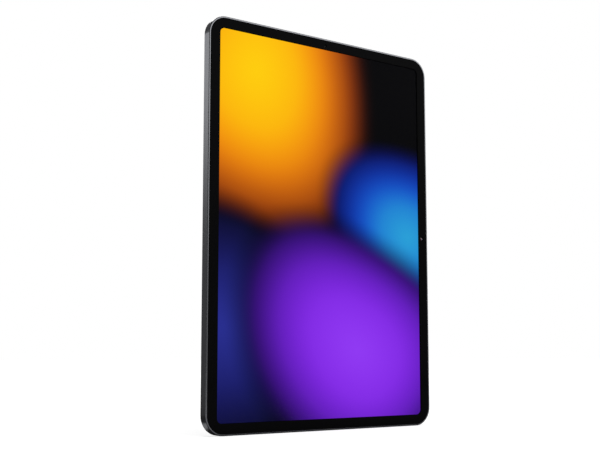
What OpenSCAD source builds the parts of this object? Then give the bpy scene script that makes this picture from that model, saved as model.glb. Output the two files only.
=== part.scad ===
// Tablet computer with an 11-inch 3:2 screen, standing upright on its bottom edge.
// X runs across the screen, Z up its long side, and the screen faces -Y.
// The origin is the middle of the bottom edge, halfway through the thickness.

/* [Body] */
// Width across the short side
body_w = 173.4; // [173:0.1:180]
// Height along the long side
body_h = 251.2; // [251:0.1:258]
// Thickness from the glass to the back face
body_t = 6.2; // [6.1:0.1:6.8]
// Radius of the four corners, seen from the front
corner_r = 12; // [11:0.5:15]
// Radius that breaks the edge between the flat sides and the two faces
edge_r = 0.4; // [0.3:0.1:0.7]
// Width of the metal lip around the glass
lip_w = 0.9; // [0.8:0.1:1.2]
// Width of the ledge under the glass that carries its adhesive
ledge_w = 1.8; // [1.5:0.1:1.9]
// Thickness of the back wall
back_wall = 0.9; // [0.8:0.1:1]

/* [Screen] */
// Thickness of the cover glass
glass_t = 0.65; // [0.55:0.05:0.7]
// Gap between the glass and the lip
glass_gap = 0.1; // [0.05:0.05:0.15]
// Width of the lit picture
picture_w = 157.8; // [150:0.1:158]
// Height of the lit picture
picture_h = 236.7; // [230:0.1:237]
// Thickness of the liquid crystal panel
panel_t = 0.7; // [0.6:0.05:0.75]
// Thickness of the backlight behind the panel
backlight_t = 0.7; // [0.6:0.05:0.75]

/* [Buttons] */
// Length of the power button
power_l = 14; // [10:0.5:16]
// Length of each volume button
volume_l = 11; // [8:0.5:12]
// Width of all three buttons through the thickness of the body
button_w = 2.2; // [1.8:0.1:2.4]
// How far the buttons stand out of the body
button_out = 0.35; // [0.3:0.05:0.5]
// How far a button travels when pressed
button_travel = 0.25; // [0.15:0.05:0.3]
// Clearance around a button in its slot
button_gap = 0.12; // [0.1:0.02:0.2]

/* [Rear camera] */
// Outer radius of the raised camera ring
camera_ring_r = 6.5; // [6:0.1:7]
// Height of the camera ring above the back face
camera_ring_h = 1.2; // [1:0.1:1.5]

/* [Openings] */
// Number of holes in each of the four speaker grilles
speaker_holes = 10; // [6:1:12]
// Radius of a speaker hole
speaker_hole_r = 0.75; // [0.5:0.05:0.8]
// Distance between neighbouring speaker holes
speaker_pitch = 2.4; // [2.2:0.1:2.4]
// Length of the plastic window for charging a stylus
stylus_window_l = 46; // [40:1:50]

/* [Hidden] */
$fn = 64;

// Finish colours
graphite = [0.40, 0.40, 0.42];
black = [0.05, 0.05, 0.055];
steel = [0.72, 0.72, 0.74];
gold = [0.82, 0.66, 0.32];
board_black = [0.08, 0.09, 0.11];
flex_brown = [0.30, 0.18, 0.08];
chip_grey = [0.18, 0.18, 0.19];

// Corner segments of a rounded edge
edge_steps = 4;
// Small overlap that lets a cut run clear of a face
cut = 1;

// Layers through the thickness, from the glass at the front to the back wall
half_w = body_w / 2;
half_t = body_t / 2;
mid_z = body_h / 2;
front_y = -half_t;
glass_back = front_y + glass_t;
adhesive_t = 0.15;
ledge_y = glass_back + adhesive_t;
panel_front = glass_back + 0.05;
backlight_front = panel_front + panel_t;
screen_back = backlight_front + backlight_t;
floor_y = half_t - back_wall;

// Glass recess and pocket
wall = lip_w + ledge_w;
recess_w = body_w - 2 * lip_w;
recess_h = body_h - 2 * lip_w;
recess_r = corner_r - lip_w;
pocket_w = body_w - 2 * wall;
pocket_h = body_h - 2 * wall;
pocket_r = corner_r - wall;
pocket_x = pocket_w / 2;
pocket_top = body_h - wall;
panel_margin = 0.8;

// Boards stand on posts and carry their parts on the front face
post_h = 0.5;
post_r = 1.6;
board_t = 0.8;
board_back = floor_y - post_h;
board_front = board_back - board_t;
board_half_w = 17;
board_low = 48;
board_top = body_h - 34.2;
wing_low = board_top - 17;
wing_x = half_w - 20.7;
can_h = 1.2;
can_t = 0.2;
can_front = board_front - can_h;
can_half_w = 12.5;
can_spans = [[70, 112], [118, 150], [156, 188]];
chip_h = 0.8;
board_posts = [
    [-15, 52], [15, 52], [-15, 153], [15, 153], [-14, board_top - 4], [wing_x - 4, board_top - 4]
];
usb_posts = [[-11, 17], [11, 17]];

// Screws
screw_r = 0.45;
thread_r = 0.5;
screw_hole_r = 0.6;
head_r = 1.1;
head_h = 0.4;
thread_depth = 0.9;

// Thin flexible circuits in two layers in front of the boards
flex_t = 0.15;
flex_y = screen_back + 0.15;
flex_back_y = flex_y + 0.3;

// Ports, buttons and grilles share one height in the thickness
port_y = (screen_back + floor_y) / 2;
flange_t = 0.5;
flange_extra = 0.3;
power_x = half_w - 28.7;
volume_up_z = body_h - 37.2;
volume_down_z = volume_up_z - 14;
switch_gap = button_travel + 0.1;

// Speakers
speaker_w = 34;
speaker_d = 24;
speaker_x = 16;
speaker_mid_x = speaker_x + speaker_w / 2;
speaker_wall_gap = 2.5;
speaker_y = floor_y - 2.5;
ear = 3.6;
ear_t = 0.6;

// Battery cells on each side of the main board
cell_in = board_half_w + 3;
cell_out = half_w - 14.7;
cell_low = 46;
cell_top = body_h - 55.2;
cell_glue = 0.15;
cell_t = 2.5;

// Antennas in the two left corners, and the cables to them
antenna_x = half_w - 32;
cable_r = 0.4;
cable_bend_r = 0.44;
cable_y = board_front - 0.6;

// Cameras
camera_x = half_w - 14;
camera_z = body_h - 14;
camera_hole_r = camera_ring_r - 0.5;
window_r = camera_ring_r - 1.1;
window_t = 0.6;
ring_bore = camera_ring_r - 1.9;
front_camera_x = half_w - 4.75;

// Dock contacts
dock_x = -half_w + 10;
dock_pitch = 7;
dock_r = 1.15;
dock_sleeve_r = 1.45;
dock_hole_r = 1.5;

// USB-C receptacle
usb_w = 8.64;
usb_h = 2.86;
usb_wall = 0.15;
usb_mouth = 0.3;
usb_end = 7.9;

// ---- Shared shapes ----

// A box between two opposite corners
module block(from, to) {
    translate(from)
        cube(to - from);
}

// Children drawn in X and Z, made solid between two depths
module layer(from, to) {
    translate([0, to, 0])
        rotate([90, 0, 0])
            linear_extrude(to - from)
                children();
}

// A rectangle with round corners, centred
module round_rect(w, h, r) {
    square([w - 2 * r, h], center = true);
    square([w, h - 2 * r], center = true);
    for (x = [-1, 1], y = [-1, 1])
        translate([x * (w / 2 - r), y * (h / 2 - r)])
            circle(r);
}

// A slot shape with round ends, centred, long in X
module stadium(l, w) {
    square([l - w, w], center = true);
    for (x = [-1, 1])
        translate([x * (l - w) / 2, 0])
            circle(w / 2);
}

// A quarter circle of points, or one sharp point where the radius is 0
function quarter(x, y, r, from) =
    r == 0 ? [[x, y]] : [
        for (i = [0 : edge_steps])
            let (a = from + 90 * i / edge_steps)
                [x + r * cos(a), y + r * sin(a)]
    ];
function plate_side(u, t, low, high) =
    concat(quarter(u - low, low, low, -90), quarter(u - high, t - high, high, 0));
function mirrored(points) = [
    for (i = [len(points) - 1 : -1 : 0])
        [-points[i][0], points[i][1]]
];

// A plate centred in X and Y from z = 0 up, with round corners of radius r
// and broken edges: low is the edge radius at z = 0, high the one at z = t
module soft_plate(w, h, r, t, low, high) {
    rotate([90, 0, 0])
        linear_extrude(h - 2 * r, center = true)
            polygon(concat(plate_side(w / 2, t, low, high), mirrored(plate_side(w / 2, t, low, high))));
    rotate([90, 0, 90])
        linear_extrude(w - 2 * r, center = true)
            polygon(concat(plate_side(h / 2, t, low, high), mirrored(plate_side(h / 2, t, low, high))));
    for (mx = [0, 1], my = [0, 1])
        mirror([mx, 0, 0])
            mirror([0, my, 0])
                translate([w / 2 - r, h / 2 - r, 0])
                    rotate_extrude(angle = 90, $fn = 128)
                        polygon(concat([[0, 0]], plate_side(r, t, low, high), [[0, t]]));
}

// A round rod from one depth to another, along Y
module rod(x, z, r, from, to) {
    translate([x, to, z])
        rotate([90, 0, 0])
            cylinder(h = to - from, r = r);
}

// Posts for screws, standing on the back wall
module posts(places) {
    for (p = places)
        rod(p[0], p[1], post_r, board_back, floor_y + 0.1);
}

// Threads for screws, drilled into posts and back wall
module threads(places, from) {
    for (p = places)
        rod(p[0], p[1], thread_r, from - cut, from + thread_depth);
}

// Screws with a hexagon socket, whose heads sit at the given depth
module screws(places, seat) {
    for (p = places)
        difference() {
            union() {
                rod(p[0], p[1], head_r, seat - head_h, seat);
                rod(p[0], p[1], screw_r, seat - 0.1, seat + board_t + thread_depth - 0.2);
            }
            rod(p[0], p[1], 0.45, seat - head_h - cut, seat - head_h + 0.2, $fn = 6);
        }
}

// Puts a shape drawn about z = 0 at the top edge or at the +X edge
module at_top(x) {
    translate([x, port_y, body_h])
        children();
}
module at_right(z) {
    translate([half_w, port_y, z])
        rotate([0, 90, 0])
            children();
}

// Centre positions of the speaker holes
function hole_x(i) = speaker_mid_x + (i - (speaker_holes - 1) / 2) * speaker_pitch;

// ---- Housing and screen ----

module rear_housing() {
    color(graphite)
        difference() {
            union() {
                difference() {
                    translate([0, half_t, mid_z])
                        rotate([90, 0, 0])
                            soft_plate(body_w, body_h, corner_r, body_t, edge_r, edge_r);
                    translate([0, 0, mid_z]) {
                        layer(front_y - cut, ledge_y)
                            round_rect(recess_w, recess_h, recess_r);
                        layer(front_y - cut, floor_y)
                            round_rect(pocket_w, pocket_h, pocket_r);
                    }
                }
                posts(board_posts);
                posts(usb_posts);
                speaker_posts();
            }
            threads(board_posts, board_back);
            threads(usb_posts, board_back);
            threads(speaker_post_places(), board_back);
            housing_openings();
        }
}

// Everything that passes through the walls of the housing
module housing_openings() {
    for (side = [-1, 1], i = [0 : speaker_holes - 1])
        translate([side * hole_x(i), port_y, -cut])
            cylinder(h = body_h + 2 * cut, r = speaker_hole_r, $fn = 24);
    at_top(0)
        translate([0, 0, -wall - cut])
            cylinder(h = wall + 2 * cut, r = 0.5, $fn = 24);
    rod(camera_x - 12, camera_z, 0.6, floor_y - cut, half_t + cut);
    rod(camera_x, camera_z, camera_hole_r, floor_y - cut, half_t + cut);
    for (i = [-1 : 1])
        rod(dock_x, mid_z + i * dock_pitch, dock_hole_r, floor_y - cut, half_t + cut);
    translate([0, port_y, -cut])
        linear_extrude(wall + 2 * cut)
            stadium(usb_w + 0.2, usb_h + 0.2);
    at_top(power_x)
        translate([0, 0, -wall - cut])
            linear_extrude(wall + 2 * cut)
                stadium(power_l + 2 * button_gap, button_w + 2 * button_gap);
    for (z = [volume_up_z, volume_down_z])
        at_right(z)
            translate([0, 0, -wall - cut])
                linear_extrude(wall + 2 * cut)
                    stadium(volume_l + 2 * button_gap, button_w + 2 * button_gap);
    at_right(mid_z)
        translate([0, 0, -wall - cut])
            linear_extrude(wall + 2 * cut)
                stadium(stylus_window_l, 3);
}

module cover_glass() {
    color([0.10, 0.10, 0.11])
        translate([0, glass_back, mid_z])
            rotate([90, 0, 0])
                soft_plate(recess_w - 2 * glass_gap, recess_h - 2 * glass_gap,
                    recess_r - glass_gap, glass_t, 0, 0.2);
}

module display_adhesive() {
    color(black)
        translate([0, 0, mid_z])
            layer(glass_back, ledge_y)
                difference() {
                    round_rect(recess_w - 0.4, recess_h - 0.4, recess_r - 0.2);
                    round_rect(pocket_w + 0.2, pocket_h + 0.2, pocket_r + 0.1);
                }
}

module display_panel() {
    color([0.10, 0.16, 0.45])
        translate([0, 0, mid_z])
            layer(panel_front, backlight_front)
                round_rect(picture_w + 2 * panel_margin, picture_h + 2 * panel_margin, 4);
}

module backlight() {
    color(steel)
        difference() {
            translate([0, 0, mid_z])
                layer(backlight_front, screen_back)
                    round_rect(picture_w + 2 * panel_margin + 0.4, picture_h + 2 * panel_margin + 0.4, 4);
            translate([0, 0, mid_z])
                layer(screen_back - 0.1, screen_back + cut)
                    round_rect(picture_w - 8, picture_h - 8, 4);
        }
}

module display_driver_board() {
    color(board_black)
        block([-50, screen_back + 0.1, 8], [-18, screen_back + 0.5, 18]);
}

// Runs up from the driver board, then across to its connector on the main board
module display_flex() {
    color(flex_brown) {
        block([-34, flex_y, 18], [-26, flex_y + flex_t, 66]);
        block([-34, flex_y, 58], [-4, flex_y + flex_t, 66]);
        block([-13, flex_y, 60], [-5, board_front - 0.7, 64]);
    }
}

// ---- Buttons ----

// One key: its cap passes through the wall and a wider flange keeps it in
module key(l) {
    translate([0, 0, -wall - 0.2])
        soft_plate(l, button_w, button_w / 2 - 0.01, wall + 0.2 + button_out, 0, 0.15);
    translate([0, 0, -wall - 0.1 - flange_t])
        linear_extrude(flange_t)
            square([l + 2 * flange_extra, button_w + 2 * flange_extra], center = true);
}

// A tactile switch with its dome towards the key
module tactile_switch() {
    translate([0, 0, -wall - 0.1 - flange_t - switch_gap - 0.3])
        cylinder(h = 0.3, r = 1);
    translate([-2.2, -1.1, -wall - 0.1 - flange_t - switch_gap - 1.1])
        cube([4.4, 2.2, 0.8]);
}

// Lowest point of the switches, where their brackets begin
switch_depth = wall + 0.1 + flange_t + switch_gap + 1.1;

// A bracket that backs one or more switches over a length
module switch_bracket(l) {
    translate([-l / 2, -1.4, -switch_depth - 0.8])
        cube([l, 2.8, 0.8]);
    for (side = [-1, 1])
        translate([side * l / 2 - 0.5 * (1 + side), -1.4, -switch_depth])
            cube([1, 2.8, 1]);
}

module power_button() {
    color(graphite)
        at_top(power_x)
            key(power_l);
}

module power_switch() {
    color(steel)
        at_top(power_x)
            tactile_switch();
}

module power_switch_bracket() {
    color(steel)
        at_top(power_x)
            switch_bracket(power_l);
}

module volume_up_button() {
    color(graphite)
        at_right(volume_up_z)
            key(volume_l);
}

module volume_down_button() {
    color(graphite)
        at_right(volume_down_z)
            key(volume_l);
}

module volume_switches() {
    color(steel)
        for (z = [volume_up_z, volume_down_z])
            at_right(z)
                tactile_switch();
}

module volume_switch_bracket() {
    color(steel)
        at_right((volume_up_z + volume_down_z) / 2)
            switch_bracket(27);
}

// Joins both sets of switches to the wing of the main board
module button_flex() {
    joint_z = wing_low + 6;
    color(flex_brown) {
        block([wing_x - 8, flex_y, joint_z - 2], [half_w - switch_depth - 1, flex_y + flex_t, joint_z + 2]);
        block([wing_x - 8, flex_y, joint_z - 2],
            [wing_x - 4, flex_y + flex_t, body_h - switch_depth - 1]);
        block([wing_x - 8, flex_y, joint_z - 2], [wing_x - 4, board_front - 0.7, joint_z + 2]);
    }
}

// ---- Cameras and sensors ----

// Raised metal ring with a seat for its window
module camera_ring() {
    color(steel)
        translate([camera_x, 0, camera_z])
            rotate([-90, 0, 0])
                rotate_extrude()
                    polygon([
                        [ring_bore, floor_y], [camera_hole_r - 0.05, floor_y],
                        [camera_hole_r - 0.05, half_t], [camera_ring_r, half_t],
                        [camera_ring_r, half_t + camera_ring_h - 0.3],
                        [camera_ring_r - 0.3, half_t + camera_ring_h],
                        [window_r + 0.3, half_t + camera_ring_h],
                        [window_r + 0.05, half_t + camera_ring_h - 0.2],
                        [window_r + 0.05, half_t + camera_ring_h - 0.2 - window_t],
                        [ring_bore, half_t + camera_ring_h - 0.2 - window_t]
                    ]);
}

module camera_window() {
    color(black)
        rod(camera_x, camera_z, window_r, half_t + camera_ring_h - 0.2 - window_t,
            half_t + camera_ring_h - 0.2);
}

module rear_lens() {
    color([0.12, 0.14, 0.22])
        rod(camera_x, camera_z, 2.2, half_t - 0.4, half_t + 0.3);
}

module rear_camera() {
    color(chip_grey)
        difference() {
            union() {
                block([camera_x - 5, screen_back + 0.8, camera_z - 5],
                    [camera_x + 5, floor_y - 0.1, camera_z + 5]);
                rod(camera_x, camera_z, ring_bore - 0.3, floor_y - 0.2, half_t + 0.3);
            }
            rod(camera_x, camera_z, 2.3, half_t - 0.4, half_t + cut);
        }
}

module rear_camera_flex() {
    join_z = board_top - 6;
    color(flex_brown) {
        block([camera_x - 2.5, flex_back_y, join_z], [camera_x + 2.5, flex_back_y + flex_t, camera_z + 2]);
        block([wing_x - 20, flex_back_y, join_z], [camera_x + 2.5, flex_back_y + flex_t, join_z + 4]);
        block([wing_x - 20, flex_back_y, join_z], [wing_x - 16, board_front - 0.7, join_z + 4]);
    }
}

// Barrel beside the screen, with its sensor block behind the backlight
module front_camera() {
    color(chip_grey) {
        rod(front_camera_x, mid_z, 1.6, glass_back + 0.1, screen_back + 0.3);
        block([front_camera_x - 3, screen_back + 0.2, mid_z - 3],
            [front_camera_x + 1.8, floor_y - 0.5, mid_z + 3]);
    }
}

module front_camera_bracket() {
    color(steel)
        difference() {
            block([front_camera_x - 4, screen_back + 0.6, mid_z - 4],
                [front_camera_x + 1.9, floor_y, mid_z + 4]);
            block([front_camera_x - 3.1, screen_back, mid_z - 3.1],
                [front_camera_x + 3, floor_y - 0.4, mid_z + 3.1]);
        }
}

module front_camera_flex() {
    flex_x = cell_out + 1.5;
    color(flex_brown) {
        block([flex_x, flex_back_y + 0.3, mid_z + 5], [flex_x + 3, flex_back_y + 0.3 + flex_t, wing_low + 3]);
        block([flex_x, flex_back_y + 0.3, mid_z - 1],
            [front_camera_x - 4, flex_back_y + 0.3 + flex_t, mid_z + 5]);
        block([wing_x - 4, flex_back_y + 0.3, wing_low],
            [flex_x + 3, flex_back_y + 0.3 + flex_t, wing_low + 3]);
    }
}

module light_sensor() {
    color(chip_grey)
        block([-1.3, glass_back + 0.1, pocket_top - 3], [1.3, screen_back, pocket_top - 1]);
}

module top_microphone() {
    color(gold)
        block([-1.5, port_y - 1, pocket_top - 2.2], [1.5, port_y + 1, pocket_top]);
}

module rear_microphone() {
    color(gold)
        block([camera_x - 13.5, floor_y - 1, camera_z - 1.1], [camera_x - 10.5, floor_y, camera_z + 1.1]);
}

// ---- Main board ----

module main_board() {
    color(board_black)
        difference() {
            union() {
                block([-board_half_w, board_front, board_low], [board_half_w, board_back, board_top]);
                block([0, board_front, wing_low], [wing_x, board_back, board_top]);
            }
            for (p = board_posts)
                rod(p[0], p[1], screw_hole_r, board_front - cut, board_back + cut);
        }
}

// A chip soldered on the front of the main board
module chip(x, z, w, h) {
    translate([x - w / 2, board_front - chip_h, z - h / 2])
        cube([w, chip_h, h]);
}

module processor() {
    color(chip_grey)
        chip(0, 86, 15, 15);
}

module storage_chips() {
    color(chip_grey)
        for (z = [126, 141])
            chip(0, z, 13, 9);
}

module power_chip() {
    color(chip_grey)
        chip(-5, 165, 8, 8);
}

module radio_chip() {
    color(chip_grey)
        chip(4, 179, 11, 10);
}

module shield_cans() {
    color(steel)
        for (span = can_spans)
            difference() {
                block([-can_half_w, can_front, span[0]], [can_half_w, board_front, span[1]]);
                block([-can_half_w + can_t, can_front + can_t, span[0] + can_t],
                    [can_half_w - can_t, board_front + cut, span[1] - can_t]);
            }
}

module graphite_sheet() {
    color(black)
        block([-can_half_w, can_front - 0.1, can_spans[0][0]], [can_half_w, can_front, can_spans[2][1]]);
}

// Sockets that the flexible circuits press into
module board_connectors() {
    color(chip_grey) {
        block([-13, board_front - 0.7, 60], [-5, board_front, 64]);
        block([-4, board_front - 0.7, 49], [4, board_front, 52]);
        block([wing_x - 8, board_front - 0.7, wing_low + 4], [wing_x - 4, board_front, wing_low + 8]);
        block([wing_x - 20, board_front - 0.7, board_top - 6], [wing_x - 16, board_front, board_top - 2]);
        block([wing_x - 4, flex_back_y + 0.3 + flex_t, wing_low], [wing_x - 1, board_front, wing_low + 3]);
    }
}

// Folded plate that holds the lower connectors down
module connector_cover() {
    color(steel)
        difference() {
            block([-7, board_front - 1.2, 48.4], [7, board_front, 56]);
            block([-6.8, board_front - 1, 48], [6.8, board_front + cut, 56.5]);
        }
}

// ---- Battery ----

// One pouch cell with a folded seam at its lower end
module cell(side) {
    x0 = side < 0 ? -cell_out : cell_in;
    x1 = side < 0 ? -cell_in : cell_out;
    y0 = floor_y - cell_glue - cell_t;
    block([x0, y0, cell_low], [x1, floor_y - cell_glue, cell_top]);
    block([x0 + 4, floor_y - 1.4, cell_low - 2], [x1 - 4, floor_y - 0.6, cell_low + 1]);
}

module battery_left() {
    color(chip_grey)
        cell(-1);
}

module battery_right() {
    color(chip_grey)
        cell(1);
}

module battery_board() {
    color(board_black)
        block([-40, floor_y - 1.4, 34], [40, floor_y - 0.6, 44]);
}

// Two stretch-release strips behind each cell
module battery_adhesive() {
    color([0.9, 0.9, 0.85])
        for (side = [-1, 1], i = [0, 1])
            translate([side * (cell_in + cell_out) / 2 + (i - 0.5) * 26 - 5,
                floor_y - cell_glue, cell_low + 6])
                cube([10, cell_glue, cell_top - cell_low - 12]);
}

// ---- USB-C port ----

module usb_shell() {
    color(steel)
        difference() {
            translate([0, port_y, usb_mouth])
                linear_extrude(usb_end - usb_mouth)
                    stadium(usb_w, usb_h);
            translate([0, port_y, usb_mouth - cut])
                linear_extrude(usb_end - usb_mouth - 0.4 + cut)
                    stadium(usb_w - 2 * usb_wall, usb_h - 2 * usb_wall);
        }
}

module usb_tongue() {
    color(black) {
        block([-3.35, port_y - 0.35, usb_mouth + 1], [3.35, port_y + 0.35, usb_end - 0.4]);
        block([-3.5, port_y - 1.1, usb_end - 1.6], [3.5, port_y + 1.1, usb_end - 0.4]);
    }
}

module usb_board() {
    color(board_black)
        difference() {
            block([-14, board_front, usb_end + 0.1], [14, board_back, 21]);
            for (p = usb_posts)
                rod(p[0], p[1], screw_hole_r, board_front - cut, board_back + cut);
        }
}

module usb_flex() {
    color(flex_brown) {
        block([-4, board_front - 0.85, 12], [4, board_front - 0.7, 52]);
        block([-4, board_front - 0.8, 12], [4, board_front, 15]);
    }
}

// ---- Speakers ----

// The top right speaker; the other three are its mirror images
module speaker() {
    top = pocket_top - speaker_wall_gap;
    difference() {
        union() {
            block([speaker_x, speaker_y, top - speaker_d], [speaker_x + speaker_w, floor_y, top]);
            block([speaker_mid_x - 12, port_y - 1.2, top - 1],
                [speaker_mid_x + 12, port_y + 1.2, pocket_top - 0.4]);
            block([speaker_x - ear, board_back - ear_t, top - speaker_d + 1],
                [speaker_x + speaker_w + ear, board_back, top - speaker_d + 1 + ear]);
        }
        translate([speaker_mid_x, 0, top - speaker_d / 2])
            layer(speaker_y - cut, speaker_y + 0.4)
                difference() {
                    stadium(26, 15);
                    stadium(20, 9);
                }
        for (p = speaker_ears())
            rod(p[0], p[1], screw_hole_r, board_back - ear_t - cut, board_back + cut);
    }
}

// Screw places of the top right speaker
function speaker_ears() = [
    for (x = [speaker_x - ear / 2, speaker_x + speaker_w + ear / 2])
        [x, pocket_top - speaker_wall_gap - speaker_d + 1 + ear / 2]
];
// Screw places of all four speakers
function speaker_post_places() = [
    for (p = speaker_ears(), side = [-1, 1], up = [0, 1])
        [side * p[0], up == 1 ? p[1] : body_h - p[1]]
];

module speaker_posts() {
    posts(speaker_post_places());
}

// A mirror image of its children in the given corner
module in_corner(left, bottom) {
    translate([0, 0, bottom ? body_h : 0])
        mirror([0, 0, bottom ? 1 : 0])
            mirror([left ? 1 : 0, 0, 0])
                children();
}

module speaker_top_left() {
    color(black)
        in_corner(true, false)
            speaker();
}

module speaker_top_right() {
    color(black)
        in_corner(false, false)
            speaker();
}

module speaker_bottom_left() {
    color(black)
        in_corner(true, true)
            speaker();
}

module speaker_bottom_right() {
    color(black)
        in_corner(false, true)
            speaker();
}

// Dust meshes between each speaker and its holes
module speaker_meshes() {
    color(chip_grey)
        for (left = [false, true], bottom = [false, true])
            in_corner(left, bottom)
                block([speaker_mid_x - 12.5, port_y - 1.1, pocket_top - 0.3],
                    [speaker_mid_x + 12.5, port_y + 1.1, pocket_top]);
}

// ---- Antennas, magnets and contacts ----

module antennas() {
    color(gold)
        for (bottom = [false, true])
            in_corner(true, bottom)
                block([antenna_x, floor_y - 1.2, body_h - 26], [antenna_x + 20, floor_y, body_h - 8]);
}

// One coaxial cable through a list of places in X and Z, a little thicker at its bends and ends
module cable(places) {
    for (i = [0 : len(places) - 2])
        translate([places[i][0], cable_y, places[i][1]])
            rotate([0, atan2(places[i + 1][0] - places[i][0], places[i + 1][1] - places[i][1]), 0])
                cylinder(h = norm(places[i + 1] - places[i]), r = cable_r, $fn = 16);
    for (p = places)
        translate([p[0], cable_y, p[1]])
            sphere(cable_bend_r, $fn = 16);
}

module antenna_cables() {
    color(black) {
        cable([
            [-board_half_w - 1, board_top - 8], [-antenna_x - 2, board_top + 4],
            [-antenna_x - 2, body_h - 27]
        ]);
        cable([
            [-board_half_w - 1.5, 50], [-board_half_w - 1.5, 31.5],
            [-antenna_x - 2, 31.5], [-antenna_x - 2, 27]
        ]);
    }
}

module stylus_window() {
    color(black)
        at_right(mid_z)
            translate([0, 0, -0.85])
                linear_extrude(0.8)
                    stadium(stylus_window_l - 0.1, 2.9);
}

module stylus_coil() {
    color([0.7, 0.4, 0.2])
        at_right(mid_z)
            translate([0, 0, -wall + 0.2])
                linear_extrude(1.5)
                    difference() {
                        stadium(26, 2.8);
                        stadium(24, 0.9);
                    }
}

module stylus_magnets() {
    color(steel)
        for (side = [-1, 1], i = [0 : 2])
            translate([pocket_x - 2.4, port_y - 1.2, mid_z + side * (24 + 13 * i) - 5])
                cube([2.2, 2.4, 10]);
}

module cover_magnets() {
    color(steel)
        for (i = [0 : 7])
            translate([-pocket_x + 0.2, port_y - 1.2, 28 + i * 26])
                cube([2.2, 2.4, 12]);
}

module dock_contacts() {
    color(gold)
        for (i = [-1 : 1])
            rod(dock_x, mid_z + i * dock_pitch, dock_r, floor_y - 1, half_t - 0.1);
}

// Insulating strip whose three sleeves line the holes in the back wall
module dock_contact_carrier() {
    color(black)
        difference() {
            union() {
                block([dock_x - 2.5, floor_y - 0.8, mid_z - 12], [dock_x + 2.5, floor_y, mid_z + 12]);
                for (i = [-1 : 1])
                    rod(dock_x, mid_z + i * dock_pitch, dock_sleeve_r, floor_y - 0.1, half_t - 0.05);
            }
            for (i = [-1 : 1])
                rod(dock_x, mid_z + i * dock_pitch, dock_r + 0.05, floor_y - cut - 1, half_t + cut);
        }
}

// ---- Screws ----

module board_screws() {
    color(steel) {
        screws(board_posts, board_front);
        screws(usb_posts, board_front);
    }
}

module speaker_screws() {
    color(steel)
        screws(speaker_post_places(), board_back - ear_t);
}

rear_housing();
cover_glass();
display_adhesive();
display_panel();
backlight();
display_driver_board();
display_flex();
power_button();
power_switch();
power_switch_bracket();
volume_up_button();
volume_down_button();
volume_switches();
volume_switch_bracket();
button_flex();
camera_ring();
camera_window();
rear_lens();
rear_camera();
rear_camera_flex();
front_camera();
front_camera_bracket();
front_camera_flex();
light_sensor();
top_microphone();
rear_microphone();
main_board();
processor();
storage_chips();
power_chip();
radio_chip();
shield_cans();
graphite_sheet();
board_connectors();
connector_cover();
battery_left();
battery_right();
battery_board();
battery_adhesive();
usb_shell();
usb_tongue();
usb_board();
usb_flex();
speaker_top_left();
speaker_top_right();
speaker_bottom_left();
speaker_bottom_right();
speaker_meshes();
antennas();
antenna_cables();
stylus_window();
stylus_coil();
stylus_magnets();
cover_magnets();
dock_contacts();
dock_contact_carrier();
board_screws();
speaker_screws();
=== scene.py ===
import math

import bmesh
import bpy
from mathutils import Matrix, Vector


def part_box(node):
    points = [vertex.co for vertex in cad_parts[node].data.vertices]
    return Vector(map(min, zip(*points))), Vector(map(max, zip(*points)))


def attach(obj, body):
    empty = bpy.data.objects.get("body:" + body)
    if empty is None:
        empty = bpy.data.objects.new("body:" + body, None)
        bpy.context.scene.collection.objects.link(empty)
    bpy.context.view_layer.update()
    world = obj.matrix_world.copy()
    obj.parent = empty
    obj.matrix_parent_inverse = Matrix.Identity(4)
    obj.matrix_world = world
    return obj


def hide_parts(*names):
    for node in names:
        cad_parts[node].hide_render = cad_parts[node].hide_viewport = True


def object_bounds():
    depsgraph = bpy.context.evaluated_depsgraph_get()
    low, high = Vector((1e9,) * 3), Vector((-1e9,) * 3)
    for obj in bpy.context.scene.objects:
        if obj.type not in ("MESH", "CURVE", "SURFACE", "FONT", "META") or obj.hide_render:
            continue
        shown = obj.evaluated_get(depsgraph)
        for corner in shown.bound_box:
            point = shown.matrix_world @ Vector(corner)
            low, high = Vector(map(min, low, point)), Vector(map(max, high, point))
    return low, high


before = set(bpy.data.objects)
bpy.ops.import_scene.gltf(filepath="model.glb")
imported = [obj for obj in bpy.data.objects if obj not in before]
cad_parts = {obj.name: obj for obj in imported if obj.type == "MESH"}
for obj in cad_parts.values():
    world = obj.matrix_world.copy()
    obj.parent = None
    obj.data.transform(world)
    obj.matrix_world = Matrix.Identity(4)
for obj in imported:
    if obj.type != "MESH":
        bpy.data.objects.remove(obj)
bpy.context.view_layer.update()
cad_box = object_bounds()

MM = 0.001
CENTRE = (cad_box[0] + cad_box[1]) / 2


# ---- Places taken from the frame ----

def middle(node):
    """The middle of a CAD node's box."""
    low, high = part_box(node)
    return (low + high) / 2


# The lit picture, inside the panel's dark margin, and the clear window over it
PANEL_LOW, PANEL_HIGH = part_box("display_panel")
PANEL_MARGIN = 0.8 * MM
PICTURE_HALF_W = PANEL_HIGH.x - PANEL_MARGIN
PICTURE_HALF_H = (PANEL_HIGH.z - PANEL_LOW.z) / 2 - PANEL_MARGIN
PICTURE_Z = middle("display_panel").z
PICTURE_CORNER = 3.4 * MM
WINDOW_EXTRA = 0.15 * MM

# The cameras and the light sensor, with the clear windows in front of them
BARREL_INSET = 1.8 * MM
FRONT_CAMERA_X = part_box("front_camera")[1].x - BARREL_INSET
FRONT_CAMERA_Z = middle("front_camera").z
FRONT_CAMERA_WINDOW = 1.25 * MM
FRONT_LENS_RADIUS = 0.9 * MM
SENSOR = middle("light_sensor")
SENSOR_WINDOW = 0.9 * MM
REAR_CAMERA = middle("camera_window")
REAR_CAMERA_WINDOW = 3.3 * MM
REAR_LENS_RADIUS = 2.0 * MM
GLASS_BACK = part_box("cover_glass")[1].y


# ---- Material nodes ----

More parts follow.
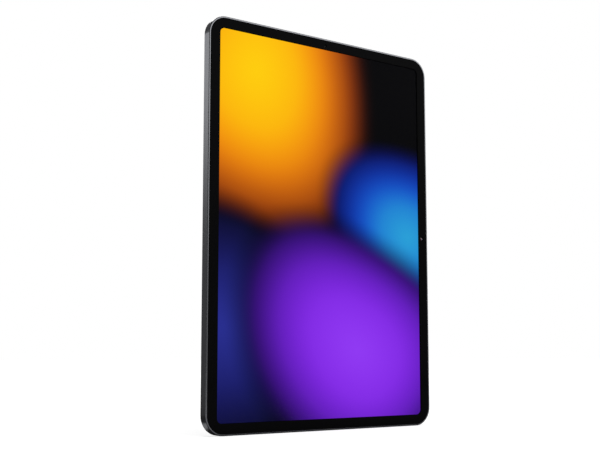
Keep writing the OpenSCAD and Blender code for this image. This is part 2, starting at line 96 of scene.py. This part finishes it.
def rgb(red, green, blue):
    """A display colour from 0 to 255 as a linear shader colour."""
    def linear(value):
        share = value / 255
        return share / 12.92 if share < 0.04045 else ((share + 0.055) / 1.055) ** 2.4
    return linear(red), linear(green), linear(blue), 1.0


def grey(value):
    """A plain number from 0 to 1 as a linear shader colour."""
    return value, value, value, 1.0


class Material:
    """A procedural material, with short ways to add its nodes."""

    def __init__(self, name):
        self.data = bpy.data.materials.new(name)
        self.data.use_nodes = True
        self.tree = self.data.node_tree
        self.tree.nodes.clear()
        self.place = self.node("TexCoord").outputs["Object"]

    def node(self, kind, **settings):
        made = self.tree.nodes.new("ShaderNode" + kind)
        for setting, value in settings.items():
            setattr(made, setting, value)
        return made

    def join(self, value, socket):
        """Links a socket to another, or sets a plain value on it."""
        if isinstance(value, bpy.types.NodeSocket):
            self.tree.links.new(value, socket)
        else:
            socket.default_value = value

    def math(self, operation, *values):
        made = self.node("Math", operation=operation)
        for value, socket in zip(values, made.inputs):
            self.join(value, socket)
        return made.outputs[0]

    def axes(self):
        split = self.node("SeparateXYZ")
        self.join(self.place, split.inputs[0])
        return split.outputs

    def stretched(self, stretch):
        """The place on the object, scaled along each axis."""
        mapping = self.node("Mapping")
        self.join(self.place, mapping.inputs["Vector"])
        mapping.inputs["Scale"].default_value = stretch
        return mapping.outputs[0]

    def noise(self, size, stretch=(1, 1, 1), detail=2.0):
        made = self.node("TexNoise")
        self.join(self.stretched(stretch), made.inputs["Vector"])
        made.inputs["Scale"].default_value = 1 / size
        made.inputs["Detail"].default_value = detail
        return made.outputs["Fac"]

    def cells(self, size, stretch=(1, 1, 1)):
        """Distance from the middle of the nearest cell, in cells."""
        made = self.node("TexVoronoi")
        self.join(self.stretched(stretch), made.inputs["Vector"])
        made.inputs["Scale"].default_value = 1 / size
        return made.outputs["Distance"]

    def waves(self, value, size):
        """A ripple from 0 to 1 along a length, one crest in every size."""
        turn = self.math("MULTIPLY", value, math.tau / size)
        return self.math("MULTIPLY_ADD", self.math("SINE", turn), 0.5, 0.5)

    def fade(self, value, start, end, low=0.0, high=1.0):
        """Goes smoothly from low to high as value goes from start to end."""
        made = self.node("MapRange", interpolation_type="SMOOTHSTEP")
        for given, name in (
            (value, "Value"), (start, "From Min"), (end, "From Max"), (low, "To Min"), (high, "To Max"),
        ):
            self.join(given, made.inputs[name])
        return made.outputs[0]

    def between(self, value, rise, fall):
        """1 between two lengths, with a soft start over rise and a soft end over fall."""
        return self.math("MULTIPLY", self.fade(value, *rise), self.fade(value, *fall, 1.0, 0.0))

    def ramp(self, value, *stops, soft=False):
        """A colour for each value from 0 to 1. Soft rounds off the change at each stop."""
        made = self.node("ValToRGB")
        if soft:
            made.color_ramp.interpolation = "B_SPLINE"
        elements = made.color_ramp.elements
        while len(elements) < len(stops):
            elements.new(0.5)
        for element, (position, colour) in zip(elements, stops):
            element.position = position
            element.color = colour
        self.join(value, made.inputs[0])
        return made.outputs[0]

    def blend(self, amount, first, second):
        """The first colour where amount is 0, and the second where it is 1."""
        made = self.node("Mix", data_type="RGBA")
        self.join(amount, made.inputs["Factor"])
        self.join(first, made.inputs[6])
        self.join(second, made.inputs[7])
        return made.outputs[2]

    def bump(self, height, depth):
        made = self.node("Bump")
        made.inputs["Strength"].default_value = 1.0
        made.inputs["Distance"].default_value = depth
        self.join(height, made.inputs["Height"])
        return made.outputs[0]

    def principled(self, **inputs):
        made = self.node("BsdfPrincipled")
        for name, value in inputs.items():
            self.join(value, made.inputs[name.replace("_", " ")])
        return made.outputs[0]

    def diffuse(self, shade):
        made = self.node("BsdfDiffuse")
        self.join(grey(shade) if isinstance(shade, float) else shade, made.inputs["Color"])
        return made.outputs[0]

    def glow(self, strength):
        made = self.node("Emission")
        self.join(strength, made.inputs["Strength"])
        return made.outputs[0]

    def from_axis(self, x, z):
        """Distance from a line along Y."""
        along_x, _, along_z = self.axes()
        return self.math(
            "SQRT",
            self.math(
                "ADD",
                self.math("POWER", self.math("SUBTRACT", along_x, x), 2.0),
                self.math("POWER", self.math("SUBTRACT", along_z, z), 2.0),
            ),
        )

    def inside_round(self, x, z, radius):
        return self.math("LESS_THAN", self.from_axis(x, z), radius)

    def inside_window(self, half_w, half_h, middle_z, radius):
        """1 inside a rectangle with round corners in X and Z, and 0 outside it."""
        along_x, _, along_z = self.axes()
        past = []
        for along, half in (
            (self.math("ABSOLUTE", along_x), half_w),
            (self.math("ABSOLUTE", self.math("SUBTRACT", along_z, middle_z)), half_h),
        ):
            beyond = self.math("MAXIMUM", self.math("SUBTRACT", along, half - radius), 0.0)
            past.append(self.math("POWER", beyond, 2.0))
        return self.math("LESS_THAN", self.math("SQRT", self.math("ADD", *past)), radius)

    def finish(self, shader):
        self.join(shader, self.node("OutputMaterial").inputs["Surface"])
        return self.data


# How many grains wide a patch of one shade is, and how far its roughness strays
CLOUD_GRAINS = 14
GLOSS_SPREAD = 0.01


def grained(name, shades, size, depth, roughness, metallic=0.0, stretch=(1, 1, 1)):
    """A surface whose colour, gloss and bump vary over grains of one size."""
    m = Material(name)
    grain = m.noise(size, stretch)
    cloud = m.noise(size * CLOUD_GRAINS, stretch)
    colour = m.ramp(cloud, (0.3, shades[0]), (0.7, shades[1]))
    gloss = m.fade(cloud, 0.3, 0.7, roughness - GLOSS_SPREAD, roughness + GLOSS_SPREAD)
    return m.finish(m.principled(
        Base_Color=colour, Metallic=metallic, Roughness=gloss, Normal=m.bump(grain, depth),
    ))


# ---- Outer materials ----

# The gloss left by an anti-reflection coat
FAINT_GLOSS = 0.01
# Black as a lit screen shows it
DARK = rgb(6, 6, 8)


def blasted_metal():
    """Bead-blasted, anodised aluminium."""
    return grained(
        "blasted_metal", (rgb(129, 130, 134), rgb(131, 132, 136)), size=0.16 * MM, depth=0.0015 * MM,
        roughness=0.22, metallic=1.0,
    )


def button_metal():
    """The housing's metal with a finer grain, brushed along the keys."""
    return grained(
        "button_metal", (rgb(132, 133, 137), rgb(140, 141, 145)), size=0.1 * MM, depth=0.003 * MM,
        roughness=0.3, metallic=1.0, stretch=(0.3, 1, 0.3),
    )


def printed_glass(m, mask, ink):
    """Glass that is see-through where mask is 1, and printed on its back everywhere else."""
    printed = m.principled(Base_Color=ink, Roughness=0.06, Specular_IOR_Level=FAINT_GLOSS)
    both = m.node("MixShader")
    m.join(mask, both.inputs[0])
    m.join(printed, both.inputs[1])
    m.join(m.node("BsdfTransparent").outputs[0], both.inputs[2])
    return m.finish(both.outputs[0])


def cover_glass():
    """The front glass: a black border with clear windows for the picture, camera and light sensor."""
    m = Material("cover_glass")
    mask = m.inside_window(
        PICTURE_HALF_W + WINDOW_EXTRA, PICTURE_HALF_H + WINDOW_EXTRA, PICTURE_Z, PICTURE_CORNER,
    )
    for x, z, radius in (
        (FRONT_CAMERA_X, FRONT_CAMERA_Z, FRONT_CAMERA_WINDOW), (SENSOR.x, SENSOR.z, SENSOR_WINDOW),
    ):
        mask = m.math("MAXIMUM", mask, m.inside_round(x, z, radius))
    ink = m.ramp(m.noise(1.5 * MM), (0.3, rgb(14, 14, 15)), (0.7, rgb(16, 16, 17)))
    return printed_glass(m, mask, ink)


def camera_glass():
    """The rear window: clear over the lens, black around it."""
    m = Material("camera_glass")
    mask = m.inside_round(REAR_CAMERA.x, REAR_CAMERA.z, REAR_CAMERA_WINDOW)
    ink = m.ramp(m.noise(0.8 * MM), (0.3, rgb(12, 12, 13)), (0.7, rgb(15, 15, 16)))
    return printed_glass(m, mask, ink)


def oval(m, across, up, centre, size):
    """0 in the middle of an oval, and 1 on its outline."""
    along = [
        m.math("POWER", m.math("DIVIDE", m.math("SUBTRACT", value, place), half), 2.0)
        for value, place, half in zip((across, up), centre, size)
    ]
    return m.math("SQRT", m.math("ADD", *along))


def lit_picture():
    """The lit screen: a plain blurred gradient, of four soft glows on black."""
    m = Material("lit_picture")
    x, _, z = m.axes()
    across = m.math("DIVIDE", x, PICTURE_HALF_W)
    up = m.math("DIVIDE", m.math("SUBTRACT", z, PICTURE_Z), PICTURE_HALF_H)
    swayed = m.math("MULTIPLY_ADD", m.math("SINE", m.math("MULTIPLY", up, 2.4)), 0.12, across)
    tilted = m.math("MULTIPLY_ADD", m.math("SINE", m.math("MULTIPLY", across, 1.8)), 0.1, up)
    # Each glow has its middle and half size, where 1 is half the picture, and its colours outwards
    glows = (
        ((-0.56, 0.72), (1.3, 1.0), (
            (0.0, rgb(255, 208, 12)), (0.3, rgb(254, 186, 10)), (0.5, rgb(242, 132, 14)),
            (0.68, rgb(160, 66, 16)), (0.82, rgb(60, 22, 12)), (0.92, DARK), (1.0, DARK),
        )),
        ((0.88, 0.1), (0.95, 0.58), (
            (0.0, rgb(44, 164, 216)), (0.3, rgb(34, 132, 212)), (0.5, rgb(20, 70, 200)),
            (0.72, rgb(12, 22, 110)), (0.9, DARK), (1.0, DARK),
        )),
        ((-1.05, -0.62), (1.1, 0.72), (
            (0.0, rgb(44, 50, 150)), (0.4, rgb(28, 30, 104)), (0.7, rgb(14, 14, 48)),
            (0.9, DARK), (1.0, DARK),
        )),
        ((0.2, -0.58), (1.3, 0.74), (
            (0.0, rgb(146, 60, 244)), (0.35, rgb(134, 44, 234)), (0.58, rgb(98, 30, 190)),
            (0.76, rgb(38, 14, 96)), (0.9, DARK), (1.0, DARK),
        )),
    )
    picture = DARK
    for centre, size, stops in glows:
        distance = oval(m, swayed, tilted, centre, size)
        cover = m.fade(distance, 0.72, 1.0, 1.0, 0.0)
        picture = m.blend(cover, picture, m.ramp(distance, *stops, soft=True))
    lit = m.inside_window(PICTURE_HALF_W, PICTURE_HALF_H, PICTURE_Z, PICTURE_CORNER)
    black = rgb(0, 0, 0)
    return m.finish(m.principled(
        Base_Color=black, Roughness=0.08, Specular_IOR_Level=FAINT_GLOSS,
        Emission_Color=m.blend(lit, black, picture), Emission_Strength=1.0,
    ))


def turned_metal():
    """Metal turned on a lathe, with fine rings round the rear camera."""
    m = Material("turned_metal")
    rings = m.waves(m.from_axis(REAR_CAMERA.x, REAR_CAMERA.z), 0.09 * MM)
    colour = m.ramp(m.noise(2 * MM), (0.3, rgb(118, 119, 124)), (0.7, rgb(134, 135, 140)))
    return m.finish(m.principled(
        Base_Color=colour, Metallic=1.0, Roughness=m.fade(rings, 0, 1, 0.2, 0.28),
        Normal=m.bump(rings, 0.0015 * MM),
    ))


def lens_glass():
    """Coated lens glass, with a faint painted ring of reflection colour in its base colour."""
    m = Material("lens_glass")
    # Painted reflection: the base colour runs from near black in the middle through violet and a blue-grey
    # ring to dark at the rim.
    colour = m.ramp(
        m.math("DIVIDE", m.from_axis(REAR_CAMERA.x, REAR_CAMERA.z), 2.2 * MM),
        (0.0, rgb(4, 5, 10)), (0.35, rgb(16, 14, 44)), (0.7, rgb(30, 44, 60)), (1.0, rgb(6, 6, 8)),
    )
    return m.finish(m.principled(
        Base_Color=colour, Roughness=0.04, Specular_IOR_Level=0.6, Coat_Weight=1.0, Coat_Roughness=0.02,
    ))


def front_lens_glass():
    """The small front lens, with a painted red and blue reflection of its coating in its base colour."""
    m = Material("front_lens_glass")
    x, _, _ = m.axes()
    side = m.math("SUBTRACT", x, FRONT_CAMERA_X)
    # Painted reflection: red toward the lens's -X side and blue toward its +X side, blended to dark at its
    # rim.
    painted_glint = m.ramp(
        m.fade(side, -0.6 * MM, 0.6 * MM),
        (0.0, rgb(226, 116, 124)), (0.45, rgb(110, 84, 100)), (1.0, rgb(118, 132, 170)),
    )
    edge = m.fade(m.from_axis(FRONT_CAMERA_X, FRONT_CAMERA_Z), 0.55 * MM, 0.85 * MM)
    return m.finish(m.principled(
        Base_Color=m.blend(edge, painted_glint, rgb(8, 8, 12)), Roughness=0.05, Coat_Weight=1.0, Coat_Roughness=0.02,
    ))


def moulded_plastic(name, shade, roughness):
    """Plastic with the fine texture of its mould."""
    shades = rgb(shade, shade, shade + 1), rgb(shade + 5, shade + 5, shade + 6)
    return grained(name, shades, size=0.25 * MM, depth=0.006 * MM, roughness=roughness)


def woven_mesh():
    """Fine acoustic mesh, woven in two directions, with painted shade in its openings."""
    m = Material("woven_mesh")
    x, y, _ = m.axes()
    weave = m.math("MULTIPLY", m.waves(x, 0.22 * MM), m.waves(y, 0.22 * MM))
    # Painted shade: the colour darkens where the bump sinks into the openings between the wires.
    colour = m.ramp(weave, (0.2, rgb(46, 47, 50)), (0.8, rgb(10, 10, 11)))
    return m.finish(m.principled(
        Base_Color=colour, Metallic=0.6, Roughness=0.45, Normal=m.bump(weave, -0.03 * MM),
    ))


# ---- Inner materials ----

def stamped_steel():
    return grained(
        "stamped_steel", (rgb(176, 177, 180), rgb(196, 197, 199)), size=0.3 * MM, depth=0.004 * MM,
        roughness=0.3, metallic=1.0, stretch=(1, 1, 0.15),
    )


def gold_plate():
    return grained(
        "gold_plate", (rgb(214, 172, 92), rgb(228, 190, 112)), size=0.2 * MM, depth=0.002 * MM,
        roughness=0.22, metallic=1.0,
    )


def nickel_plate():
    return grained(
        "nickel_plate", (rgb(150, 148, 144), rgb(172, 170, 166)), size=0.5 * MM, depth=0.004 * MM,
        roughness=0.25, metallic=1.0,
    )


def backlight_foil():
    """White light-guide film with a foil rim, faintly dimpled."""
    m = Material("backlight_foil")
    dots = m.cells(0.8 * MM)
    colour = m.ramp(dots, (0.1, rgb(214, 215, 216)), (0.6, rgb(196, 197, 199)))
    return m.finish(m.principled(
        Base_Color=colour, Metallic=0.4, Roughness=0.38, Normal=m.bump(dots, 0.01 * MM),
    ))


def circuit_board():
    """Dark solder mask over copper tracks, with plated holes."""
    m = Material("circuit_board")
    x, _, z = m.axes()
    tracks = m.math("GREATER_THAN", m.waves(m.math("ADD", x, m.math("MULTIPLY", z, 0.5)), 0.7 * MM), 0.55)
    patches = m.fade(m.noise(5 * MM), 0.45, 0.5)
    copper = m.math("MULTIPLY", tracks, patches)
    mask_colour = m.blend(copper, rgb(17, 24, 26), rgb(27, 40, 40))
    holes = m.math("LESS_THAN", m.cells(1.6 * MM, stretch=(1, 0.01, 1)), 0.13)
    colour = m.blend(holes, mask_colour, rgb(198, 160, 92))
    return m.finish(m.principled(
        Base_Color=colour, Metallic=holes, Roughness=0.36, Normal=m.bump(copper, 0.02 * MM),
    ))


def flexible_circuit():
    """Amber film over fine parallel tracks."""
    m = Material("flexible_circuit")
    x, _, z = m.axes()
    tracks = m.waves(m.math("ADD", x, z), 0.5 * MM)
    colour = m.ramp(tracks, (0.35, rgb(66, 36, 16)), (0.65, rgb(120, 72, 30)))
    return m.finish(m.principled(
        Base_Color=colour, Roughness=0.32, Coat_Weight=0.4, Coat_Roughness=0.15,
        Normal=m.bump(tracks, 0.01 * MM),
    ))


def chip_resin():
    return grained(
        "chip_resin", (rgb(26, 26, 28), rgb(36, 36, 38)), size=0.12 * MM, depth=0.008 * MM, roughness=0.55,
    )


def graphite_foil():
    return grained(
        "graphite_foil", (rgb(34, 34, 36), rgb(52, 52, 55)), size=0.8 * MM, depth=0.01 * MM,
        roughness=0.42, metallic=0.3,
    )


def pouch_foil():
    """The laminated foil of a battery cell, with shallow creases."""
    m = Material("pouch_foil")
    creases = m.noise(9 * MM, (1, 1, 0.4), 4.0)
    grain = m.noise(0.6 * MM)
    colour = m.ramp(grain, (0.3, rgb(58, 60, 64)), (0.7, rgb(70, 72, 77)))
    return m.finish(m.principled(
        Base_Color=colour, Metallic=0.7, Roughness=m.fade(creases, 0.3, 0.7, 0.34, 0.48),
        Normal=m.bump(creases, 0.25 * MM),
    ))


def wound_copper():
    """Turns of enamelled copper wire that follow the coil's long sides, with painted shade between the turns.
    """
    m = Material("wound_copper")
    _, y, _ = m.axes()
    wires = m.waves(y, 0.16 * MM)
    # Painted shade: darker in the grooves between the turns, lighter on their crowns.
    colour = m.ramp(wires, (0.2, rgb(110, 52, 24)), (0.7, rgb(196, 112, 62)))
    return m.finish(m.principled(
        Base_Color=colour, Metallic=1.0, Roughness=0.28, Normal=m.bump(wires, 0.05 * MM),
    ))


def sticky_film(name, shade):
    """Double-sided adhesive film, slightly uneven."""
    shades = rgb(shade, shade, shade), rgb(shade + 8, shade + 8, shade + 6)
    return grained(name, shades, size=0.9 * MM, depth=0.02 * MM, roughness=0.6)


# ---- Which material each CAD node wears ----

def dress():
    steel = stamped_steel()
    gold = gold_plate()
    magnet = nickel_plate()
    board = circuit_board()
    flex = flexible_circuit()
    chip = chip_resin()
    black = moulded_plastic("black_plastic", 18, 0.5)
    finishes = (
        (blasted_metal(), ["rear_housing"]),
        (button_metal(), ["power_button", "volume_up_button", "volume_down_button"]),
        (cover_glass(), ["cover_glass"]),
        (lit_picture(), ["display_panel"]),
        (camera_glass(), ["camera_window"]),
        (turned_metal(), ["camera_ring"]),
        (moulded_plastic("stylus_plastic", 70, 0.42), ["stylus_window"]),
        (woven_mesh(), ["speaker_meshes"]),
        (sticky_film("black_adhesive", 14), ["display_adhesive"]),
        (sticky_film("white_adhesive", 214), ["battery_adhesive"]),
        (backlight_foil(), ["backlight"]),
        (graphite_foil(), ["graphite_sheet"]),
        (pouch_foil(), ["battery_left", "battery_right"]),
        (wound_copper(), ["stylus_coil"]),
        (magnet, ["stylus_magnets", "cover_magnets"]),
        (gold, ["dock_contacts", "antennas", "top_microphone", "rear_microphone"]),
        (board, ["main_board", "usb_board", "battery_board", "display_driver_board"]),
        (flex, ["display_flex", "button_flex", "rear_camera_flex", "front_camera_flex", "usb_flex"]),
        (chip, ["processor", "storage_chips", "power_chip", "radio_chip", "board_connectors", "light_sensor",
                "front_camera", "rear_camera"]),
        (steel, ["power_switch", "power_switch_bracket", "volume_switches", "volume_switch_bracket",
                 "front_camera_bracket", "shield_cans", "connector_cover", "usb_shell", "board_screws",
                 "speaker_screws"]),
        (black, ["usb_tongue", "dock_contact_carrier", "antenna_cables", "speaker_top_left",
                 "speaker_top_right", "speaker_bottom_left", "speaker_bottom_right", "rear_lens"]),
    )
    for material, nodes in finishes:
        for node in nodes:
            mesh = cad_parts[node].data
            mesh.materials.clear()
            mesh.materials.append(material)
    dressed = {node for _, nodes in finishes for node in nodes}
    missing = sorted(set(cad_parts) - dressed)
    if missing:
        raise ValueError(f"no material for {missing}")


# ---- Pieces made here ----

def add_piece(name, shape, material):
    """Makes an object from a bmesh, and lets it ride on the tablet."""
    mesh = bpy.data.meshes.new(name)
    bmesh.ops.recalc_face_normals(shape, faces=shape.faces)
    shape.to_mesh(mesh)
    shape.free()
    mesh.materials.append(material)
    mesh.shade_smooth()
    mesh.set_sharp_from_angle(angle=math.radians(35))
    piece = bpy.data.objects.new(name, mesh)
    bpy.context.scene.collection.objects.link(piece)
    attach(piece, "tablet")
    return piece


def turned(x, z, profile, steps=96):
    """A solid turned about a line along Y. Its (radius, depth) profile starts and ends on the line."""
    shape = bmesh.new()
    angles = [math.tau * i / steps for i in range(steps)]
    rings = []
    for radius, depth in profile:
        places = [(x + radius * math.cos(angle), depth, z + radius * math.sin(angle)) for angle in angles]
        rings.append([shape.verts.new(place) for place in (places if radius else places[:1])])
    for one, other in zip(rings, rings[1:]):
        for i in range(steps):
            j = (i + 1) % steps
            if len(one) == 1:
                shape.faces.new((one[0], other[i], other[j]))
            elif len(other) == 1:
                shape.faces.new((one[i], one[j], other[0]))
            else:
                shape.faces.new((one[i], one[j], other[j], other[i]))
    return shape


def build_rear_lens():
    """The lens under the rear window, with a flat back and a crowned front."""
    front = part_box("rear_lens")[1].y - 0.05 * MM
    crown = 0.3 * MM
    rim = front - crown
    back = rim - 0.3 * MM
    steps = 10
    outline = [(0, back), (REAR_LENS_RADIUS, back)]
    for i in range(steps):
        angle = math.pi / 2 * i / steps
        outline.append((REAR_LENS_RADIUS * math.cos(angle), rim + crown * math.sin(angle)))
    outline.append((0, front))
    shape = turned(REAR_CAMERA.x, REAR_CAMERA.z, outline)
    lens = add_piece("rear_lens_element", shape, lens_glass())
    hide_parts("rear_lens")


def build_front_lens():
    """The small lens just behind the cover glass, with a flat back and a crowned front."""
    outline = [
        (radius * FRONT_LENS_RADIUS, GLASS_BACK + gap * MM)
        for radius, gap in (
            (0, 0.095), (1, 0.095), (1, 0.07), (2 / 3, 0.04), (1 / 3, 0.025), (0, 0.02),
        )
    ]
    shape = turned(FRONT_CAMERA_X, FRONT_CAMERA_Z, outline)
    add_piece("front_lens_element", shape, front_lens_glass())


def build_port_contacts():
    """Twelve gold pads on each side of the tongue in the USB-C port."""
    middle_y = middle("usb_tongue").y
    pads = 12
    pitch = 0.5 * MM
    pad_size = (0.28 * MM, 0.04 * MM, 3.6 * MM)
    pad_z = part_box("usb_tongue")[0].z + 2.4 * MM
    off_middle = 0.36 * MM
    shape = bmesh.new()
    for side in (-1, 1):
        for i in range(pads):
            centre = Vector(((i - (pads - 1) / 2) * pitch, middle_y + side * off_middle, pad_z))
            made = bmesh.ops.create_cube(shape, size=1)
            bmesh.ops.scale(shape, vec=pad_size, verts=made["verts"])
            bmesh.ops.translate(shape, vec=centre, verts=made["verts"])
    short_edges = [edge for edge in shape.edges if edge.calc_length() < pad_size[2] / 2]
    bmesh.ops.bevel(shape, geom=short_edges, offset=0.01 * MM, segments=1, affect="EDGES")
    add_piece("usb_contacts", shape, bpy.data.materials["gold_plate"])


# ---- Studio ----

# How far the softboxes and cards stand from the object
STUDIO_RADIUS = 1.7
WHITE = grey(1)


def softbox(name, azimuth, elevation, width, height, radiance):
    """A soft rectangular light that faces the object. Azimuth 0 is behind it, +90 at its +X side."""
    data = bpy.data.lights.new(name, "AREA")
    data.shape = "RECTANGLE"
    data.size, data.size_y = width, height
    data.energy = 4 * width * height * radiance
    light = bpy.data.objects.new(name, data)
    bpy.context.scene.collection.objects.link(light)
    turn, rise = math.radians(azimuth), math.radians(elevation)
    out = Vector((math.sin(turn) * math.cos(rise), math.cos(turn) * math.cos(rise), math.sin(rise)))
    light.location = CENTRE + out * STUDIO_RADIUS
    light.rotation_euler = out.to_track_quat("Z", "Y").to_euler()
    light.visible_camera = False


def card(name, azimuth, width, heights, ramp, radiance):
    """A tall glowing card that only reflections see. It brightens upwards between the two heights of ramp."""
    turn = math.radians(azimuth)
    out = Vector((math.sin(turn), math.cos(turn), 0))
    side = Vector((out.y, -out.x, 0)) * width / 2
    low, high = heights
    corners = [
        out * STUDIO_RADIUS + side * way + Vector((0, 0, z))
        for way, z in ((-1, low), (1, low), (1, high), (-1, high))
    ]
    mesh = bpy.data.meshes.new(name)
    mesh.from_pydata(corners, [], [(0, 1, 2, 3)])
    m = Material(name)
    mesh.materials.append(m.finish(m.glow(m.fade(m.axes()[2], *ramp, *radiance))))
    plane = bpy.data.objects.new(name, mesh)
    bpy.context.scene.collection.objects.link(plane)
    plane.visible_camera = plane.visible_diffuse = plane.visible_shadow = False


def build_lights():
    card("side_card", azimuth=-41, width=0.8, heights=(0.1, 0.93), ramp=(0.27, 0.7), radiance=(0.14, 1.2))
    card("front_card", azimuth=143, width=1.1, heights=(0.0, 1.3), ramp=(0.2, 0.75), radiance=(0.43, 1.9))
    card("right_card", azimuth=92, width=1.3, heights=(0.0, 1.4), ramp=(0.1, 0.9), radiance=(0.13, 0.75))
    softbox("corner_light", azimuth=19, elevation=28, width=0.45, height=0.38, radiance=2.6)
    softbox("back_light", azimuth=52, elevation=12, width=1.3, height=0.9, radiance=1.5)
    softbox("right_light", azimuth=96, elevation=26, width=0.9, height=0.8, radiance=0.7)
    data = bpy.data.lights.new("floor_light", "SUN")
    data.energy = 3.4
    data.angle = math.radians(70)
    sun = bpy.data.objects.new("floor_light", data)
    bpy.context.scene.collection.objects.link(sun)
    sun.rotation_euler = (math.radians(12), math.radians(8), 0)
    sun.visible_glossy = False


def build_world():
    """White behind the object, and a dim grey room in its reflections."""
    world = bpy.data.worlds.new("studio")
    bpy.context.scene.world = world
    world.use_nodes = True
    tree = world.node_tree
    tree.nodes.clear()
    seen = tree.nodes.new("ShaderNodeBackground")
    seen.inputs["Color"].default_value = WHITE
    room = tree.nodes.new("ShaderNodeBackground")
    room.inputs["Color"].default_value = WHITE
    room.inputs["Strength"].default_value = 0.13
    path = tree.nodes.new("ShaderNodeLightPath")
    both = tree.nodes.new("ShaderNodeMixShader")
    output = tree.nodes.new("ShaderNodeOutputWorld")
    tree.links.new(path.outputs["Is Camera Ray"], both.inputs[0])
    tree.links.new(room.outputs[0], both.inputs[1])
    tree.links.new(seen.outputs[0], both.inputs[2])
    tree.links.new(both.outputs[0], output.inputs["Surface"])


def floor_for_camera(m):
    """Pale paper, nearly white, that takes a faint contact shadow."""
    pale = m.node("AddShader")
    m.join(m.diffuse(0.3), pale.inputs[0])
    m.join(m.glow(0.74), pale.inputs[1])
    return pale.outputs[0]


def floor_for_reflections(m):
    """Dark, with soft grey patches of painted light in front and behind, and a painted glowing line behind
    the lower left corner, for a highlight on that corner.
    """
    x, y, _ = m.axes()
    left, right = cad_box[0].x, cad_box[1].x
    # Painted light, seen only in reflections: grey pools in front of and behind the object, over a floor that
    # brightens slightly further back.
    front = m.between(y, rise=(-0.6, -0.4), fall=(-0.02, -0.01))
    behind = m.math("MULTIPLY", m.fade(x, left + 0.017, right + 0.053, 0.0, 0.8), m.fade(y, 0.01, 0.09))
    far = m.fade(y, 0.03, 0.3, 0.05, 0.1)
    painted_light_pools = m.math("MULTIPLY_ADD", m.math("ADD", front, behind), 0.34, far)
    # Painted highlight: a glowing line on the floor behind the lower left corner, which shows in that
    # corner's reflection.
    line = m.between(y, rise=(0.005, 0.009), fall=(0.016, 0.024))
    corner = m.between(x, rise=(left - 0.009, left - 0.004), fall=(left + 0.001, left + 0.006))
    painted_highlight_streak = m.math("MULTIPLY", m.math("MULTIPLY", line, corner), 0.45)
    dark = m.node("AddShader")
    m.join(m.diffuse(painted_light_pools), dark.inputs[0])
    m.join(m.glow(painted_highlight_streak), dark.inputs[1])
    return dark.outputs[0]


def build_floor():
    half = 6.0
    z = cad_box[0].z - 0.02 * MM
    mesh = bpy.data.meshes.new("floor")
    corners = [(-half, -half, z), (half, -half, z), (half, half, z), (-half, half, z)]
    mesh.from_pydata(corners, [], [(0, 1, 2, 3)])
    floor = bpy.data.objects.new("floor", mesh)
    bpy.context.scene.collection.objects.link(floor)
    m = Material("floor_paper")
    both = m.node("MixShader")
    m.join(m.node("LightPath").outputs["Is Camera Ray"], both.inputs[0])
    m.join(floor_for_reflections(m), both.inputs[1])
    m.join(floor_for_camera(m), both.inputs[2])
    mesh.materials.append(m.finish(both.outputs[0]))


def build_camera():
    data = bpy.data.cameras.new("camera")
    data.sensor_width = 36
    data.lens = 58.9
    data.shift_y = 0.0333
    data.clip_start, data.clip_end = 0.01, 100
    camera = bpy.data.objects.new("camera", data)
    bpy.context.scene.collection.objects.link(camera)
    camera.location = (-0.3711, -0.5007, 0.0478)
    camera.rotation_euler = (math.radians(90 + 6.3), 0, math.radians(-35.18))
    bpy.context.scene.camera = camera


bpy.context.scene.view_settings.view_transform = "Standard"
dress()
build_rear_lens()
build_front_lens()
build_port_contacts()
build_lights()
build_world()
build_floor()
build_camera()
